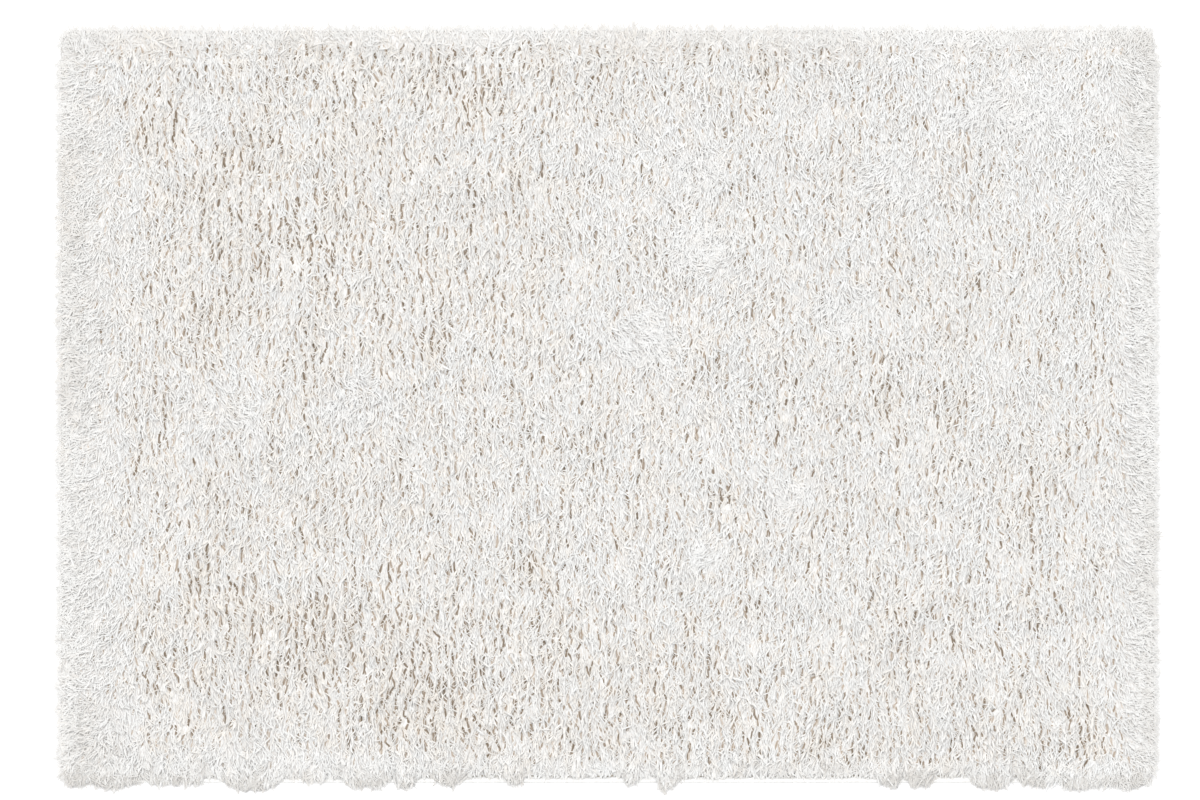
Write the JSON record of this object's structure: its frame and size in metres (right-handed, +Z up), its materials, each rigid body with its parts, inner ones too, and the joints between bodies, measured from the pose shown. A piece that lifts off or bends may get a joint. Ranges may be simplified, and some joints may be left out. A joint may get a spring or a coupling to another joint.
{
  "type": "shag rug",
  "caption": "Rectangular shag rug that lies flat on a floor: deep pale pile, locks drooping over its rim, and a narrow tape sewn round the edge of its backing.",
  "frame": {"origin": "middle of the rug's plan, on the surface that it lies on", "axes": "+X along the long side, +Y away from the edge where the binding shows, +Z up"},
  "size_m": [2.2989, 1.6238, 0.0442],
  "materials": {
    "pile_yarn": "soft warm-white shag yarn, matt with a faint sheen at the tips, warm grey in the gaps between tufts",
    "binding_tape": "white woven tape, matt, with a line of stitches along it"
  },
  "bodies": {
    "root": {"shag_pile": "pile_yarn", "edge_binding": "binding_tape"}
  },
  "joints": []
}
